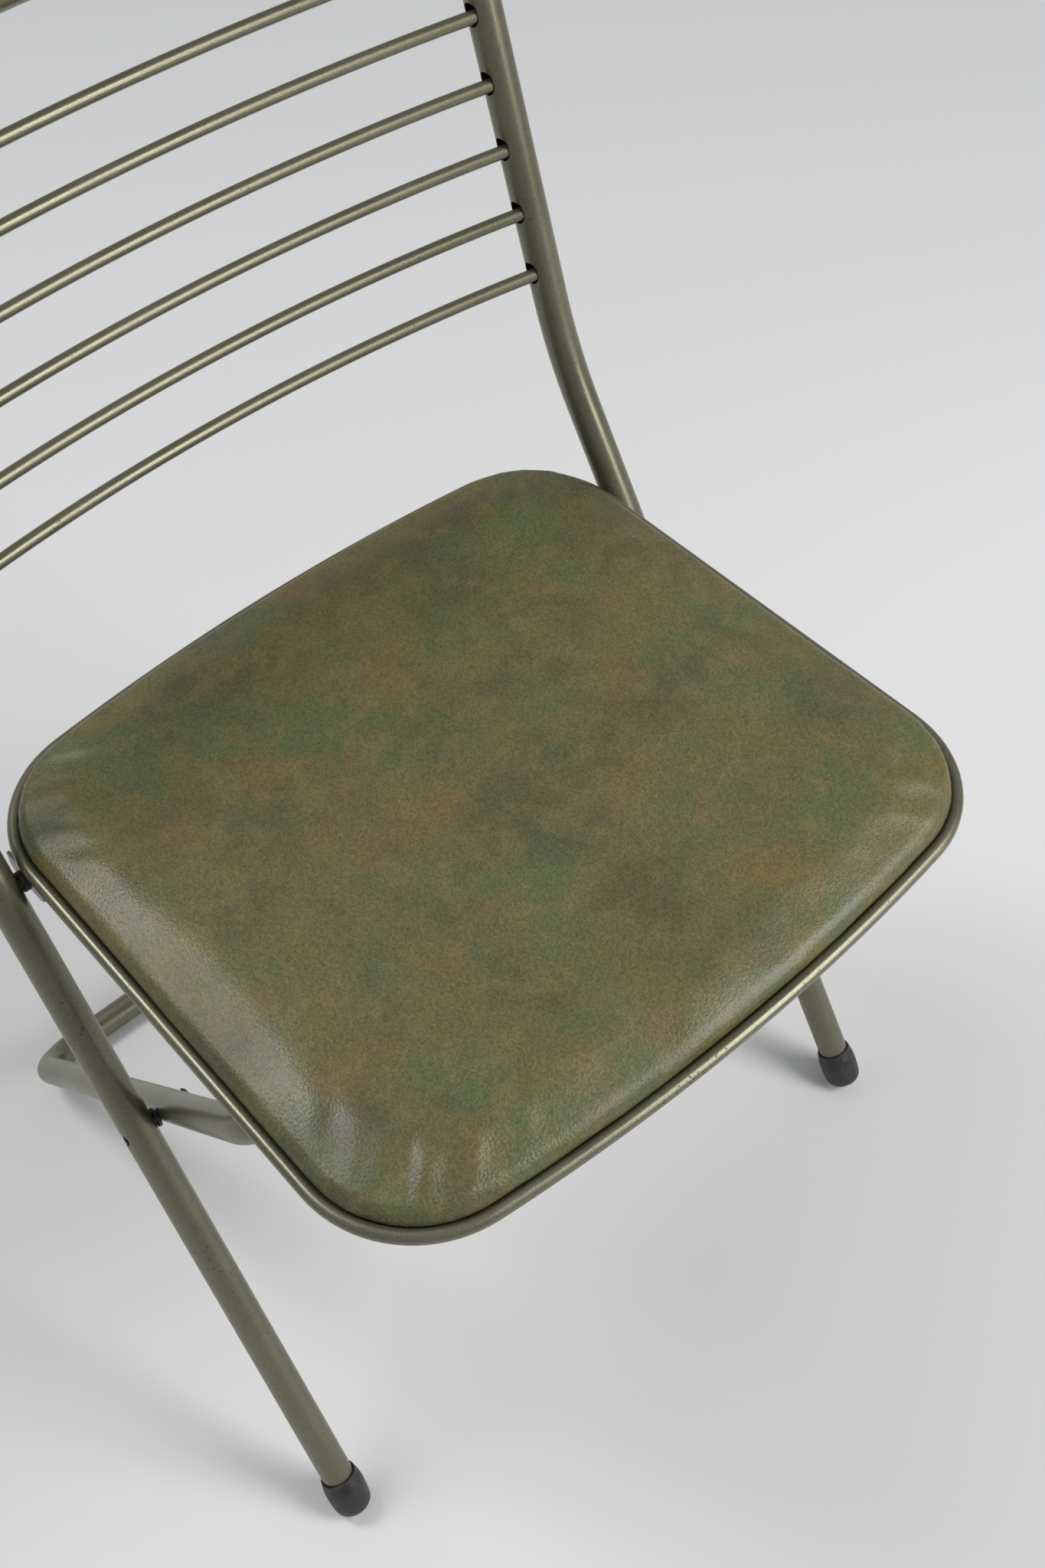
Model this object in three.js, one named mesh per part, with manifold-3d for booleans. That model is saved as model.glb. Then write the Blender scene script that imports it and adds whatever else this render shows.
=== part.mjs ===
// Folding chair: a bent steel tube frame with bowed back rods, a second tube frame crossing inside it as the
// rear legs, and a pressed steel seat pan with a vinyl covered pad. Millimetres, +Z up, front towards -Y.
// The origin is on the floor, under the middle of the open chair.
import * as THREE from 'three';
import { mergeVertices } from 'three/addons/utils/BufferGeometryUtils.js';
import Module from 'manifold-3d';

const wasm = await Module();
wasm.setup();

// ---- Driving dimensions -------------------------------------------------------------------------

const GAP = 0.3; // between pieces that touch
const DEG = Math.PI / 180;

// Main frame: one tube, front leg, upright, top rail, upright, front leg.
const MAIN_TUBE = 20; // outside diameter
const MAIN_WALL = 1.2;
const UPRIGHT_HALF_SPACING = 221; // tube axis from the middle of the chair
const LEG_SPLAY = 5; // how much further out the foot is than the knee
const LEG_LEAN = 31.3 * DEG; // from vertical
const UPRIGHT_LEAN = 17.9 * DEG;
const KNEE_ABOVE_SEAT_PIVOT = 82; // the knee is where the axes of leg and upright meet
const KNEE_RADIUS = 300;
const RAIL_ABOVE_TOP_ROD = 60.5; // along the upright
const RAIL_CORNER_RADIUS = 62;
const RAIL_SWEEP = 12.5 * DEG; // how far the rail runs backwards out of each corner
const RAIL_STRAIGHT = 11; // between a corner and the rail's bow

// Back rods, let into the inner walls of the uprights.
const ROD = 7.5;
const ROD_COUNT = 6;
const ROD_PITCH = 37;
const LOWEST_ROD_ABOVE_KNEE = 52.5;
const ROD_BOW = 31;
const ROD_LET_IN = 8.5; // past the inner wall
const ROD_SLOT_RISE = 3; // how much taller than the rod its hole is

// Rubber tips on the front legs.
const TIP_WALL = 2.6;
const TIP_HEIGHT = 29;
const TIP_SOLE = 6; // rubber under the tube's end
const TIP_ROUND = 5;
const TIP_BEVEL = 1.5; // round its mouth
const TIP_WEAR = 1; // worn flat on the floor

// Rear frame: one tube bent to a rectangle, its ends meeting in the middle of the top bar.
const REAR_TUBE = 19;
const REAR_WALL = 1.2;
const CROSSING_CLEARANCE = 2.8; // between the two tubes where they cross
const TOP_BAR_BEHIND_SEAT_FRONT = 121.1; // its axis, with the chair open
const REAR_BOTTOM_RADIUS = 38;
const REAR_TOP_RADIUS = 55;
const REAR_JOINT_SLIT = 1; // between the tube's two ends

// Crossing pivots and seat pivots.
const CROSSING_HEIGHT = 271;
const SEAT_PIVOT_BELOW_RIM = 6.8;
const SEAT_PIVOT_FROM_REAR_EDGE = 68.3;
const RIVET_SHANK = 6;
const RIVET_HEAD = 9.5;
const RIVET_HEAD_HEIGHT = 2.4;
const RIVET_SET_HEAD = 8.5; // the head inside the main tube
const RIVET_ACCESS_CLEARANCE = 0.5; // by which the hole in the tube's outer wall is larger than that head
const WASHER_DIAMETER = 12;

// Seat pan: pressed deck with a rolled rim.
const SEAT_DEPTH = 395;
const SEAT_SIDE_CLEARANCE = 2.4; // from the rim to the leg, at the seat pivot
const SEAT_WIDENING = 5.5 / 300; // of each side, per millimetre towards the front
const SEAT_EDGE_RADIUS = 1250; // bow of the front and rear edges
const SEAT_CORNER_RADIUS = 70;
const RIM = 8; // diameter of the rolled rim
const RIM_FLAT = 0.5; // taken off the rim's inner side, where the deck joins it
const RIM_HEIGHT = 421.3; // its axis above the floor
const DECK = 1;
const DECK_ABOVE_RIM_BASE = 0.6;
const LUG_THICKNESS = 2;
const LUG_LENGTH = 34;
const LUG_DROP = 9; // below the seat pivot
const LUG_TO_LEG = 4.6; // filled by the washer

// Seat pad: hardboard base, foam and vinyl cover, screwed to the deck from below.
const PAD_INSET = 4.5; // from the rim's outer edge to the cover, which bulges over the rim
const PAD_IN_TRAY = 0.6; // from the rim's inner side to the cover
const PAD_RISE = 12; // above the top of the rim
const COVER = 1;
const COVER_TURNED_UNDER = 26; // from the side of its lower part
const BOARD = 4;
const BOARD_INSET = 2.5; // from the inside of its lower part
const PAD_EDGE_ROUND = 8;
const SCREW_SHANK = 3.5;
const SCREW_HEAD = 8;
const SCREW_HEAD_HEIGHT = 1.8;
const SCREW_POINT = 1;
const SCREW_FROM_SIDE = 102;
const SCREW_FROM_END = 77.5;

// Stops under the seat that the rear frame's top bar rests in.
const STOP_WIDTH = 30;
const STOP_SHEET = 1.5;
const STOP_FROM_CORNER = 36; // from the bend of the top bar
const STOP_LIP = 15; // how far its front lip hangs down
const STOP_BEHIND_BAR = 19; // how far its flat reaches behind the bar's axis

// Fineness of the round surfaces.
const TUBE_SIDES = 16;
const ROD_SIDES = 10;
const ROD_STEPS = 12;
const PIN_SIDES = 16;
const SCREW_SIDES = 10;
const BEND_STEP = 15 * DEG; // largest turn between two stations of a bend
const BEND_RUN = 45; // longest run between them
const CORNER_STEPS = 6;
const EDGE_STEPS = 4;
const ROUND_STEPS = 3; // from the side of a rounded edge or head to its top

const OVERRUN = 3; // how far a cutter reaches past the wall that it cuts

// ---- Materials ----------------------------------------------------------------------------------

const finish = (color, roughness, metalness) => () =>
  new THREE.MeshStandardMaterial({ color, roughness, metalness });
const olivePaint = finish(0x6b6a44, 0.38, 0.7);
const vinyl = finish(0x5f5f2c, 0.42, 0);
const blackRubber = finish(0x1b1b1c, 0.5, 0);
const darkSteel = finish(0x3a3a38, 0.45, 0.8);
const zincSteel = finish(0x9a9a96, 0.35, 0.9);
const hardboard = finish(0x5b4027, 0.8, 0);
const foam = finish(0xd8c88a, 0.95, 0);

// ---- Solids -------------------------------------------------------------------------------------

// A closed geometry as a solid that can be joined and cut.
function solidOf(geometry) {
  const bare = geometry.clone();
  bare.deleteAttribute('normal');
  bare.deleteAttribute('uv');
  const merged = mergeVertices(bare, 1e-4);
  return new wasm.Manifold(new wasm.Mesh({
    numProp: 3,
    vertProperties: new Float32Array(merged.attributes.position.array),
    triVerts: new Uint32Array(merged.index.array),
  }));
}

function geometryOf(solid) {
  const mesh = solid.getMesh();
  const geometry = new THREE.BufferGeometry();
  geometry.setAttribute('position', new THREE.BufferAttribute(mesh.vertProperties, 3));
  geometry.setIndex(new THREE.BufferAttribute(mesh.triVerts, 1));
  geometry.computeVertexNormals();
  return geometry;
}

const cut = (geometry, cutters) =>
  geometryOf(cutters.reduce((solid, cutter) => solid.subtract(solidOf(cutter)), solidOf(geometry)));
const fuse = (one, other) => geometryOf(solidOf(one).add(solidOf(other)));

// A centre line given as stations, each a point and a direction. The extrusion takes one step per station, so
// a straight run is a single step.
class StationLine extends THREE.Curve {
  constructor(stations) {
    super();
    this.stations = stations;
    this.steps = stations.length - 1;
  }
  getPointAt(u) {
    return this.stations[Math.round(u * this.steps)].point.clone();
  }
  getTangentAt(u) {
    return this.stations[Math.round(u * this.steps)].direction.clone();
  }
}

// Stations along straight runs between corners, each corner rounded to its radius.
function roundedRun(corners) {
  const stations = [];
  const first = corners[0].at;
  const last = corners[corners.length - 1].at;
  stations.push({ point: first, direction: corners[1].at.clone().sub(first).normalize() });
  for (let i = 1; i < corners.length - 1; i += 1) {
    const { at, radius } = corners[i];
    const into = at.clone().sub(corners[i - 1].at).normalize();
    const out = corners[i + 1].at.clone().sub(at).normalize();
    const turn = into.angleTo(out);
    const start = at.clone().addScaledVector(into, -radius * Math.tan(turn / 2));
    const axis = into.clone().cross(out).normalize();
    const centre = start.clone().addScaledVector(axis.clone().cross(into), radius);
    const steps = Math.ceil(Math.max(turn / BEND_STEP, (turn * radius) / BEND_RUN));
    for (let k = 0; k <= steps; k += 1) {
      const angle = (turn * k) / steps;
      const point = start.clone().sub(centre).applyAxisAngle(axis, angle).add(centre);
      stations.push({ point, direction: into.clone().applyAxisAngle(axis, angle) });
    }
  }
  stations.push({ point: last, direction: last.clone().sub(corners[corners.length - 2].at).normalize() });
  return new StationLine(stations);
}

function extrudeAlong(line, radius, sides, bore = 0) {
  // A full circle is drawn with twice curveSegments sides.
  const section = new THREE.Shape().absarc(0, 0, radius, 0, 2 * Math.PI);
  if (bore > 0) section.holes.push(new THREE.Path().absarc(0, 0, bore, 0, 2 * Math.PI, true));
  return new THREE.ExtrudeGeometry(section, {
    steps: line.steps, curveSegments: sides / 2, extrudePath: line, bevelEnabled: false,
  });
}

// A piece turned about +Y. The profile is pairs of radius and distance along the axis, and it starts and ends
// on the axis or closes on itself.
function turned(profile, sides) {
  return new THREE.LatheGeometry(profile.map(([radius, along]) => new THREE.Vector2(radius, along)), sides);
}

const turnedAlongX = (profile) => turned(profile, PIN_SIDES).rotateZ(-Math.PI / 2);

// The profile of a domed head, from its crown on the axis to its edge at the face that it bears with.
function dome(radius, face, crown) {
  return Array.from({ length: ROUND_STEPS + 1 }, (_, k) => {
    const angle = (Math.PI / 2) * (k / ROUND_STEPS);
    return [radius * Math.sin(angle), face + (crown - face) * Math.cos(angle)];
  });
}

// A plain round bar along X between two distances, used as a cutter.
const barAlongX = (radius, from, to) =>
  new THREE.CylinderGeometry(radius, radius, to - from, PIN_SIDES)
    .rotateZ(Math.PI / 2).translate((from + to) / 2, 0, 0);

// ---- Frame geometry -----------------------------------------------------------------------------

// Directions in the side view: up along the upright, and out of its back.
const uprightUp = new THREE.Vector3(0, Math.sin(UPRIGHT_LEAN), Math.cos(UPRIGHT_LEAN));
const uprightBack = new THREE.Vector3(0, Math.cos(UPRIGHT_LEAN), -Math.sin(UPRIGHT_LEAN));

const rimBase = RIM_HEIGHT - RIM / 2;
const rimTop = RIM_HEIGHT + RIM / 2;
const seatPivotHeight = rimBase - SEAT_PIVOT_BELOW_RIM;
const kneeHeight = seatPivotHeight + KNEE_ABOVE_SEAT_PIVOT;

// The leg's axis at a height. It splays outwards a little below the knee.
function legAt(height) {
  const across = UPRIGHT_HALF_SPACING + (LEG_SPLAY * (kneeHeight - height)) / kneeHeight;
  const seatPivotBack = SEAT_DEPTH / 2 - SEAT_PIVOT_FROM_REAR_EDGE;
  const back = seatPivotBack + (height - seatPivotHeight) * Math.tan(LEG_LEAN);
  return new THREE.Vector3(across, back, height);
}

const knee = legAt(kneeHeight);
const uprightAt = (aboveKnee) => knee.clone().addScaledVector(uprightUp, aboveKnee);
const crossing = legAt(CROSSING_HEIGHT);
const seatPivot = legAt(seatPivotHeight);
const mainInnerWall = MAIN_TUBE / 2 - MAIN_WALL;
const mirrored = (point) => new THREE.Vector3(-point.x, point.y, point.z);

// Unworn, the tip's rounded edge would touch the floor with the middle of its end a little higher.
const tipRadius = MAIN_TUBE / 2 + GAP + TIP_WALL;
const tipEndUnworn = TIP_ROUND * (1 - Math.cos(LEG_LEAN)) + (tipRadius - TIP_ROUND) * Math.sin(LEG_LEAN);
const tipEnd = legAt(tipEndUnworn - TIP_WEAR);
const tubeEnd = tipEnd.clone().lerp(knee, (TIP_SOLE + GAP) / tipEnd.distanceTo(knee));

const rodHeights = Array.from({ length: ROD_COUNT }, (_, i) => LOWEST_ROD_ABOVE_KNEE + i * ROD_PITCH);
const topCorner = uprightAt(rodHeights[ROD_COUNT - 1] + RAIL_ABOVE_TOP_ROD);
const railMiddle = topCorner.clone().setX(0)
  .addScaledVector(uprightBack, UPRIGHT_HALF_SPACING * Math.tan(RAIL_SWEEP));

// ---- Pieces of the main frame -------------------------------------------------------------------

// The rail's bow takes up all but a short straight between its two corners.
const railBowRadius = (UPRIGHT_HALF_SPACING / Math.cos(RAIL_SWEEP) - RAIL_CORNER_RADIUS - RAIL_STRAIGHT)
  / Math.tan(RAIL_SWEEP);

// An arc from upright to upright, bowed backwards, its ends inside the tubes.
function rodLine(aboveKnee) {
  const chord = UPRIGHT_HALF_SPACING - MAIN_TUBE / 2;
  const radius = (chord ** 2 + ROD_BOW ** 2) / (2 * ROD_BOW);
  const endAngle = Math.asin((chord + ROD_LET_IN) / radius);
  const middle = uprightAt(aboveKnee).setX(0);
  const stations = [];
  for (let k = 0; k <= ROD_STEPS; k += 1) {
    const angle = endAngle * ((2 * k) / ROD_STEPS - 1);
    const point = middle.clone().setX(radius * Math.sin(angle))
      .addScaledVector(uprightBack, radius * Math.cos(angle) - (radius - ROD_BOW));
    const direction = new THREE.Vector3(Math.cos(angle), 0, 0).addScaledVector(uprightBack, -Math.sin(angle));
    stations.push({ point, direction });
  }
  return new StationLine(stations);
}

// The slot that a rod end goes into: round ended, taller than the rod, through the inner wall only.
function rodSlot(aboveKnee) {
  const radius = ROD / 2 + GAP;
  const slant = 1; // room for the rod's slope across the wall
  const outline = new THREE.Shape();
  outline.absarc(0, ROD_SLOT_RISE, radius + slant, 0, Math.PI);
  outline.absarc(0, 0, radius + slant, Math.PI, 2 * Math.PI);
  const depth = MAIN_TUBE / 2;
  const slot = new THREE.ExtrudeGeometry(outline, { depth, curveSegments: ROD_SIDES, bevelEnabled: false });
  const frame = new THREE.Matrix4().makeBasis(uprightBack, uprightUp, new THREE.Vector3(1, 0, 0));
  const at = uprightAt(aboveKnee).setX(UPRIGHT_HALF_SPACING - MAIN_TUBE / 2 - OVERRUN);
  return slot.applyMatrix4(frame.setPosition(at));
}

const mirrorX = (geometry) => {
  const copy = geometry.index ? geometry.toNonIndexed() : geometry.clone();
  const position = copy.attributes.position;
  for (let i = 0; i < position.count; i += 3) {
    const [a, b] = [i + 1, i + 2].map((k) => new THREE.Vector3().fromBufferAttribute(position, k));
    const c = new THREE.Vector3().fromBufferAttribute(position, i);
    position.setXYZ(i, -c.x, c.y, c.z);
    position.setXYZ(i + 1, -b.x, b.y, b.z);
    position.setXYZ(i + 2, -a.x, a.y, a.z);
  }
  return copy;
};
const bothSides = (cutters) => cutters.flatMap((cutter) => [cutter, mirrorX(cutter)]);

// Inner wall hole for the rivet's shank and outer wall hole for the tool that sets its head.
function mainPivotHoles(pivot) {
  const shank = barAlongX(RIVET_SHANK / 2 + GAP, -MAIN_TUBE, 0);
  const access = barAlongX((RIVET_SET_HEAD + RIVET_ACCESS_CLEARANCE) / 2, 0, MAIN_TUBE);
  return [shank, access].map((hole) => hole.translate(pivot.x, pivot.y, pivot.z));
}

function mainFrameTube() {
  const line = roundedRun([
    { at: tubeEnd },
    { at: knee, radius: KNEE_RADIUS },
    { at: topCorner, radius: RAIL_CORNER_RADIUS },
    { at: railMiddle, radius: railBowRadius },
    { at: mirrored(topCorner), radius: RAIL_CORNER_RADIUS },
    { at: mirrored(knee), radius: KNEE_RADIUS },
    { at: mirrored(tubeEnd) },
  ]);
  const tube = extrudeAlong(line, MAIN_TUBE / 2, TUBE_SIDES, mainInnerWall);
  const holes = [...rodHeights.map(rodSlot), ...mainPivotHoles(crossing), ...mainPivotHoles(seatPivot)];
  return cut(tube, bothSides(holes));
}

// A cup over the tube's end, rounded below and worn flat where it stands.
function footTip() {
  const outer = tipRadius;
  const inner = MAIN_TUBE / 2 + GAP;
  const round = [];
  for (let k = 0; k <= EDGE_STEPS; k += 1) {
    const angle = (Math.PI / 2) * (k / EDGE_STEPS);
    round.push([outer - TIP_ROUND + TIP_ROUND * Math.sin(angle), TIP_ROUND * (1 - Math.cos(angle))]);
  }
  const profile = [[0, 0], ...round, [outer, TIP_HEIGHT - TIP_BEVEL], [outer - TIP_BEVEL, TIP_HEIGHT],
    [inner, TIP_HEIGHT], [inner, TIP_SOLE], [0, TIP_SOLE]];
  const upLeg = knee.clone().sub(tipEnd).normalize();
  const turn = new THREE.Quaternion().setFromUnitVectors(new THREE.Vector3(0, 1, 0), upLeg);
  const cup = turned(profile, TUBE_SIDES).applyQuaternion(turn).translate(tipEnd.x, tipEnd.y, tipEnd.z);
  const below = new THREE.BoxGeometry(8 * outer, 8 * outer, 2 * outer).translate(tipEnd.x, tipEnd.y, -outer);
  return cut(cup, [below]);
}

// ---- Rear frame ---------------------------------------------------------------------------------

// The top bar lies in the stops under the seat's deck, and the side tubes run from it through the crossing
// pivots to the floor. Both points are where a bar's axis meets a side tube's.
const deckUnderside = rimBase + DECK_ABOVE_RIM_BASE;
const rearHalfSpacing = crossing.x - MAIN_TUBE / 2 - CROSSING_CLEARANCE - REAR_TUBE / 2;
const topBar = new THREE.Vector3(rearHalfSpacing, TOP_BAR_BEHIND_SEAT_FRONT - SEAT_DEPTH / 2,
  deckUnderside - GAP - STOP_SHEET - GAP - REAR_TUBE / 2);
const bottomBar = topBar.clone()
  .lerp(crossing.clone().setX(rearHalfSpacing), (topBar.z - REAR_TUBE / 2) / (topBar.z - crossing.z));

const rearOuterFace = rearHalfSpacing + REAR_TUBE / 2;
const rearInnerFace = rearHalfSpacing - REAR_TUBE / 2;

function rearFrameTube() {
  const end = topBar.clone().setX(REAR_JOINT_SLIT / 2);
  const line = roundedRun([
    { at: end },
    { at: topBar, radius: REAR_TOP_RADIUS },
    { at: bottomBar, radius: REAR_BOTTOM_RADIUS },
    { at: mirrored(bottomBar), radius: REAR_BOTTOM_RADIUS },
    { at: mirrored(topBar), radius: REAR_TOP_RADIUS },
    { at: mirrored(end) },
  ]);
  const tube = extrudeAlong(line, REAR_TUBE / 2, TUBE_SIDES, REAR_TUBE / 2 - REAR_WALL);
  const hole = barAlongX(RIVET_SHANK / 2 + GAP, rearInnerFace - OVERRUN, rearOuterFace + OVERRUN)
    .translate(0, crossing.y, crossing.z);
  return cut(tube, bothSides([hole]));
}

// ---- Rivets and washers -------------------------------------------------------------------------

// A rivet along X at a pivot. Its inner head is domed; its outer head sits inside the main tube, clear of the
// tube's curved wall.
function pivotRivet(pivot, innerFace) {
  const shank = RIVET_SHANK / 2;
  const setHead = RIVET_SET_HEAD / 2;
  const setFace = pivot.x - Math.sqrt(mainInnerWall ** 2 - setHead ** 2) + GAP;
  const profile = [
    ...dome(RIVET_HEAD / 2, innerFace, innerFace - RIVET_HEAD_HEIGHT),
    [shank, innerFace],
    [shank, setFace],
    ...dome(setHead, setFace, setFace + RIVET_HEAD_HEIGHT).reverse(),
  ];
  return turnedAlongX(profile).translate(0, pivot.y, pivot.z);
}

function washer(pivot, from, to) {
  const inner = RIVET_SHANK / 2 + GAP;
  const outer = WASHER_DIAMETER / 2;
  const profile = [[inner, from], [outer, from], [outer, to], [inner, to], [inner, from]];
  return turnedAlongX(profile).translate(0, pivot.y, pivot.z);
}

const lugOuterFace = seatPivot.x - MAIN_TUBE / 2 - LUG_TO_LEG;
const lugInnerFace = lugOuterFace - LUG_THICKNESS;

// ---- Seat ---------------------------------------------------------------------------------------

// Half the seat's width in the middle of its depth.
const seatHalfWidth = seatPivot.x - MAIN_TUBE / 2 - SEAT_SIDE_CLEARANCE + SEAT_WIDENING * seatPivot.y;

// The seat's outline: straight sides that widen forwards, bowed front and rear edges, round corners. An inset
// keeps every arc's centre, so outlines at two insets are the same distance apart all round.
function seatOutline(inset) {
  const side = new THREE.Vector2(-SEAT_WIDENING, 1).normalize();
  const outward = new THREE.Vector2(side.y, -side.x);
  const onSide = new THREE.Vector2(seatHalfWidth, 0);
  const points = [];
  for (const end of [-1, 1]) {
    const edgeCentre = new THREE.Vector2(0, end * (SEAT_DEPTH / 2 - SEAT_EDGE_RADIUS));
    // The corner's centre is the corner radius inside the side and inside the bowed edge.
    const base = onSide.clone().addScaledVector(outward, -SEAT_CORNER_RADIUS);
    const reach = SEAT_EDGE_RADIUS - SEAT_CORNER_RADIUS;
    const fromCentre = base.clone().sub(edgeCentre);
    const along = fromCentre.dot(side);
    const slide = -along + end * Math.sqrt(along ** 2 + reach ** 2 - fromCentre.lengthSq());
    const centre = base.clone().addScaledVector(side, slide);
    const edgeAngle = centre.clone().sub(edgeCentre).angle();
    const sideAngle = outward.angle() > Math.PI ? outward.angle() - 2 * Math.PI : outward.angle();
    const meetAngle = edgeAngle > Math.PI ? edgeAngle - 2 * Math.PI : edgeAngle;
    const corner = arcPoints(centre, SEAT_CORNER_RADIUS - inset, meetAngle, sideAngle, CORNER_STEPS);
    const middleAngle = (end * Math.PI) / 2;
    const edge = arcPoints(edgeCentre, SEAT_EDGE_RADIUS - inset, middleAngle, meetAngle, EDGE_STEPS);
    edge.pop();
    const half = [...edge, ...corner];
    if (end < 0) points.push(...half);
    else points.push(...half.reverse());
  }
  const left = points.slice(1, -1).reverse().map((point) => new THREE.Vector2(-point.x, point.y));
  return new THREE.Shape([...points, ...left]);
}

function arcPoints(centre, radius, from, to, steps) {
  const points = [];
  for (let k = 0; k <= steps; k += 1) {
    const angle = from + ((to - from) * k) / steps;
    points.push(new THREE.Vector2(centre.x + radius * Math.cos(angle), centre.y + radius * Math.sin(angle)));
  }
  return points;
}

// A flat slab of the seat's outline between two heights.
const slab = (inset, bottom, top) =>
  new THREE.ExtrudeGeometry(seatOutline(inset), { depth: top - bottom, bevelEnabled: false })
    .translate(0, 0, bottom);

// A slab whose top edge is rounded.
function domedSlab(inset, bottom, top, round) {
  const height = top - bottom;
  const rounded = new THREE.ExtrudeGeometry(seatOutline(inset + round), {
    depth: height, bevelEnabled: true, bevelThickness: round, bevelSize: round, bevelSegments: ROUND_STEPS,
  }).translate(0, 0, bottom - round);
  const below = new THREE.BoxGeometry(4 * seatHalfWidth, 2 * SEAT_DEPTH, 4 * round)
    .translate(0, 0, bottom - 2 * round);
  return cut(rounded, [below]);
}

const deckTop = deckUnderside + DECK;
const screwAcross = seatHalfWidth - SCREW_FROM_SIDE;
const screwAlong = SEAT_DEPTH / 2 - SCREW_FROM_END;

// Cutters for the four screws between two heights.
function screwHoles(bottom, top) {
  const radius = SCREW_SHANK / 2 + GAP;
  return [-1, 1].flatMap((x) => [-1, 1].map((y) =>
    new THREE.CylinderGeometry(radius, radius, top - bottom, SCREW_SIDES).rotateX(Math.PI / 2)
      .translate(x * screwAcross, y * screwAlong, (bottom + top) / 2)));
}

// The rim's two rounded halves meet at a flat that is too thin to see, and the deck is what two cuts leave.
function seatPan() {
  const rounded = new THREE.ExtrudeGeometry(seatOutline(RIM / 2), {
    depth: 0.02, bevelEnabled: true, bevelThickness: RIM / 2, bevelSize: RIM / 2, bevelSegments: ROUND_STEPS,
  }).translate(0, 0, RIM_HEIGHT);
  const pocket = slab(RIM - RIM_FLAT, deckTop, rimTop + OVERRUN);
  const hollow = slab(RIM - RIM_FLAT, rimBase - OVERRUN, deckUnderside);
  return cut(rounded, [pocket, hollow, ...screwHoles(deckUnderside - OVERRUN, deckTop + OVERRUN)]);
}

// A side view outline, Y and Z, given a thickness along X.
function acrossSeat(outline, depth, curveSegments = 1) {
  const side = new THREE.Matrix4().makeBasis(
    new THREE.Vector3(0, 1, 0), new THREE.Vector3(0, 0, 1), new THREE.Vector3(1, 0, 0));
  return new THREE.ExtrudeGeometry(outline, { depth, curveSegments, bevelEnabled: false }).applyMatrix4(side);
}

// A vertical plate under the rim, round below, with the pivot hole.
function seatLug() {
  const top = rimBase - GAP - seatPivot.z;
  const half = LUG_LENGTH / 2;
  const outline = new THREE.Shape();
  outline.moveTo(half, top);
  outline.lineTo(-half, top);
  outline.absarc(-half + LUG_DROP, 0, LUG_DROP, Math.PI, 1.5 * Math.PI);
  outline.absarc(half - LUG_DROP, 0, LUG_DROP, -Math.PI / 2, 0);
  const hole = new THREE.Path().absarc(0, 0, RIVET_SHANK / 2 + GAP, 0, 2 * Math.PI, true);
  outline.holes.push(hole);
  return acrossSeat(outline, LUG_THICKNESS, CORNER_STEPS).translate(lugInnerFace, seatPivot.y, seatPivot.z);
}

const coverBottom = deckTop + GAP;
const boardBottom = coverBottom + COVER + GAP;
const padTop = rimTop + PAD_RISE;

const trayInset = RIM - RIM_FLAT + PAD_IN_TRAY;
const overRim = rimTop + GAP;

// The pad inside its cover at a depth: a lower part in the tray, and a bulging part that reaches over the rim.
function padForm(depth, bottom) {
  const above = domedSlab(PAD_INSET + depth, overRim + depth, padTop - depth, PAD_EDGE_ROUND - depth);
  return fuse(slab(trayInset + depth, bottom, overRim + depth + OVERRUN), above);
}

function padCover() {
  const opening = slab(trayInset + COVER_TURNED_UNDER, coverBottom - OVERRUN, boardBottom + OVERRUN);
  return cut(padForm(0, coverBottom), [padForm(COVER, boardBottom - GAP), opening]);
}

const padFoam = () => padForm(COVER + GAP, boardBottom + BOARD + GAP);

function padBoard() {
  const board = slab(trayInset + COVER + BOARD_INSET, boardBottom, boardBottom + BOARD);
  return cut(board, screwHoles(boardBottom - OVERRUN, boardBottom + BOARD + OVERRUN));
}

// Head below the deck, point inside the board.
function padScrew() {
  const face = deckUnderside - GAP;
  const tip = boardBottom + BOARD - GAP;
  const shank = SCREW_SHANK / 2;
  const profile = [
    ...dome(SCREW_HEAD / 2, face, face - SCREW_HEAD_HEIGHT),
    [shank, face],
    [shank, tip - SCREW_POINT],
    [shank / 2, tip],
    [0, tip],
  ];
  return turned(profile, SCREW_SIDES).rotateX(Math.PI / 2);
}

// A bent strip under the deck: flat over the top bar, its lip hanging down in front of the bar.
function barStop() {
  const top = deckUnderside - GAP;
  const front = topBar.y - REAR_TUBE / 2 - GAP;
  const back = topBar.y + STOP_BEHIND_BAR;
  const outline = new THREE.Shape([
    new THREE.Vector2(back, top),
    new THREE.Vector2(front - STOP_SHEET, top),
    new THREE.Vector2(front - STOP_SHEET, top - STOP_LIP),
    new THREE.Vector2(front, top - STOP_LIP),
    new THREE.Vector2(front, top - STOP_SHEET),
    new THREE.Vector2(back, top - STOP_SHEET),
  ]);
  const outerEnd = rearHalfSpacing - REAR_TOP_RADIUS - STOP_FROM_CORNER;
  return acrossSeat(outline, STOP_WIDTH).translate(outerEnd - STOP_WIDTH, 0, 0);
}

// ---- Assembly -----------------------------------------------------------------------------------

const chair = new THREE.Group();
const open = new THREE.Group(); // everything, placed so that the open chair is centred on the origin
chair.add(open);

function addPiece(parent, name, geometry, material) {
  const mesh = new THREE.Mesh(geometry, material());
  mesh.name = name;
  parent.add(mesh);
  return mesh;
}

addPiece(open, 'main_frame_tube', mainFrameTube(), olivePaint);
rodHeights.forEach((height, i) => {
  addPiece(open, `back_rod_${i + 1}`, extrudeAlong(rodLine(height), ROD / 2, ROD_SIDES), olivePaint);
});
addPiece(open, 'rear_frame_tube', rearFrameTube(), olivePaint);
addPiece(open, 'seat_pan', seatPan(), olivePaint);
addPiece(open, 'pad_board', padBoard(), hardboard);
addPiece(open, 'pad_foam', padFoam(), foam);
addPiece(open, 'pad_cover', padCover(), vinyl);

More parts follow.
